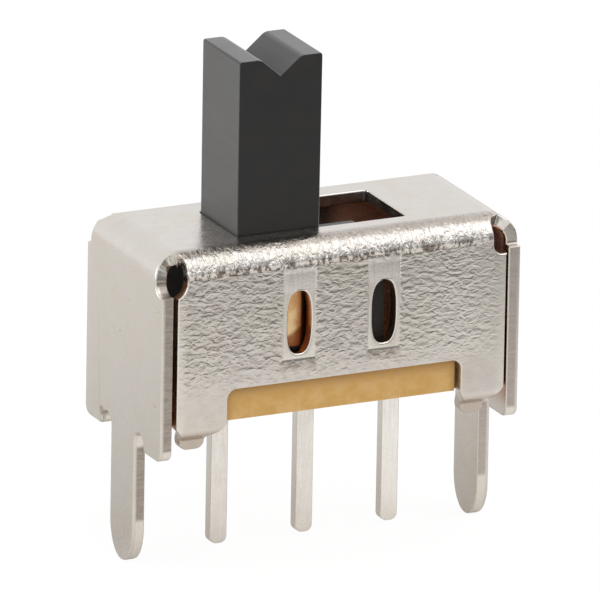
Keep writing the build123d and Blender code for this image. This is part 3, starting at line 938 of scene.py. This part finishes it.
def makeFloor():
    material = bpy.data.materials.new("paleFloor")
    tree, output = startTree(material, "ShaderNodeOutputMaterial")
    rays = tree.nodes.new("ShaderNodeLightPath")
    lit = addNode(tree, "ShaderNodeBsdfDiffuse", {"Color": studio["floorColour"]})
    white = addNode(tree, "ShaderNodeEmission", {"Color": studio["white"], "Strength": studio["floorGlow"]})
    seen = times(tree, rays.outputs["Is Camera Ray"], studio["floorWhite"])
    # pieces mirror a floor that darkens to the front right, with a painted shadow on it just behind them
    _, x, y, _ = places(tree)
    ahead = sums(tree, "SUBTRACT", times(tree, x, studio["aheadWay"][0]), times(tree, y, studio["aheadWay"][1]))
    fall = times(tree, band(tree, ahead, 10, 44, 1.0, 0.25), band(tree, ahead, 45, 120, 1.0, 0.4),
                 band(tree, y, -3, 2, 1.0, 0.76), band(tree, y, 2, 28, 1.0, 1.2))
    green, blue = (times(tree, fall, part) for part in studio["floorTint"])
    tone = addNode(tree, "ShaderNodeCombineColor", {0: fall, 1: green, 2: blue}).outputs[0]
    glow = addNode(tree, "ShaderNodeEmission", {"Color": tone, "Strength": studio["floorGloss"]})
    shaded = addNode(tree, "ShaderNodeBsdfDiffuse", {"Color": tone})
    fading = mixShaders(tree, studio["floorShade"], glow, shaded)
    direct = mixShaders(tree, seen, lit, white)
    whole = mixShaders(tree, mirrorRays(rays), direct, fading)
    tree.links.new(whole.outputs[0], output.inputs["Surface"])
    return material


dress(floor, makeFloor())


def makeWorld():
    world = bpy.context.scene.world or bpy.data.worlds.new("studio")
    bpy.context.scene.world = world
    tree, output = startTree(world, "ShaderNodeOutputWorld")
    rays = tree.nodes.new("ShaderNodeLightPath")
    way = addNode(tree, "ShaderNodeTexCoord", {}).outputs["Generated"]
    darkWay = Vector(studio["darkWay"]).normalized()
    facing = addNode(tree, "ShaderNodeVectorMath", {0: way, 1: darkWay}, operation="DOT_PRODUCT").outputs["Value"]
    room = band(tree, facing, *studio["darkEdge"], 1.0, studio["roomDark"])
    level, mirror, white = (addNode(tree, "ShaderNodeBackground", {"Color": studio["white"], "Strength": strength})
                            for strength in (studio["worldLevel"], room, 1.0))
    around = mixShaders(tree, mirrorRays(rays), level, mirror)
    whole = mixShaders(tree, rays.outputs["Is Camera Ray"], around, white)
    tree.links.new(whole.outputs[0], output.inputs["Surface"])


makeWorld()

# name, place, target, size along and across, radiance
lamps = (
    ("overhead", (0.16, -0.23, 0.35), (0, 0, 0), 0.46, 0.50, 0.88),
    ("leftSide", (-0.44, 0.16, 0.16), (0, 0, 0), 0.40, 0.30, 1.7),
)
for name, place, target, long, wide, radiance in lamps:
    pickNothing()
    bpy.ops.object.light_add(type="AREA", location=place)
    lamp = bpy.context.object
    lamp.name = name
    lamp.rotation_euler = (Vector(target) - Vector(place)).to_track_quat("-Z", "Y").to_euler()
    lamp.data.shape = "RECTANGLE"
    lamp.data.size = long
    lamp.data.size_y = wide
    lamp.data.energy = radiance * pi * long * wide

# Camera at the photograph's place: angles, distance, pixels for each millimetre and the aimed point's pixel
shot = {"aim": (0, 0, 3.0), "turn": 25.52, "rise": 18.01, "roll": 1.03, "distance": 434.8, "scale": 37.23,
        "pixel": (303.07, 308.39), "frame": (600, 599), "sensor": 36, "nearest": 0.01, "farthest": 10}
turn, rise, roll = (radians(shot[key]) for key in ("turn", "rise", "roll"))
right = Vector((cos(turn), -sin(turn), 0))
up = Vector((sin(turn) * sin(rise), cos(turn) * sin(rise), cos(rise)))
back = Vector((-sin(turn) * cos(rise), -cos(turn) * cos(rise), sin(rise)))
right, up = right * cos(roll) + up * sin(roll), up * cos(roll) - right * sin(roll)
offRight = (shot["frame"][0] / 2 - shot["pixel"][0]) / shot["scale"]
offUp = (shot["pixel"][1] - shot["frame"][1] / 2) / shot["scale"]
place = (Vector(shot["aim"]) + back * shot["distance"] + right * offRight + up * offUp) * mm
pickNothing()
bpy.ops.object.camera_add()
camera = bpy.context.object
camera.matrix_world = Matrix.Translation(place) @ Matrix((right, up, back)).transposed().to_4x4()
camera.data.sensor_fit = "HORIZONTAL"
camera.data.sensor_width = shot["sensor"]
camera.data.lens = shot["scale"] * shot["distance"] * shot["sensor"] / shot["frame"][0]
camera.data.clip_start = shot["nearest"]
camera.data.clip_end = shot["farthest"]
scene = bpy.context.scene
scene.camera = camera
scene.view_settings.view_transform = "Standard"
print("studio and camera set")

low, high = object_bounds()
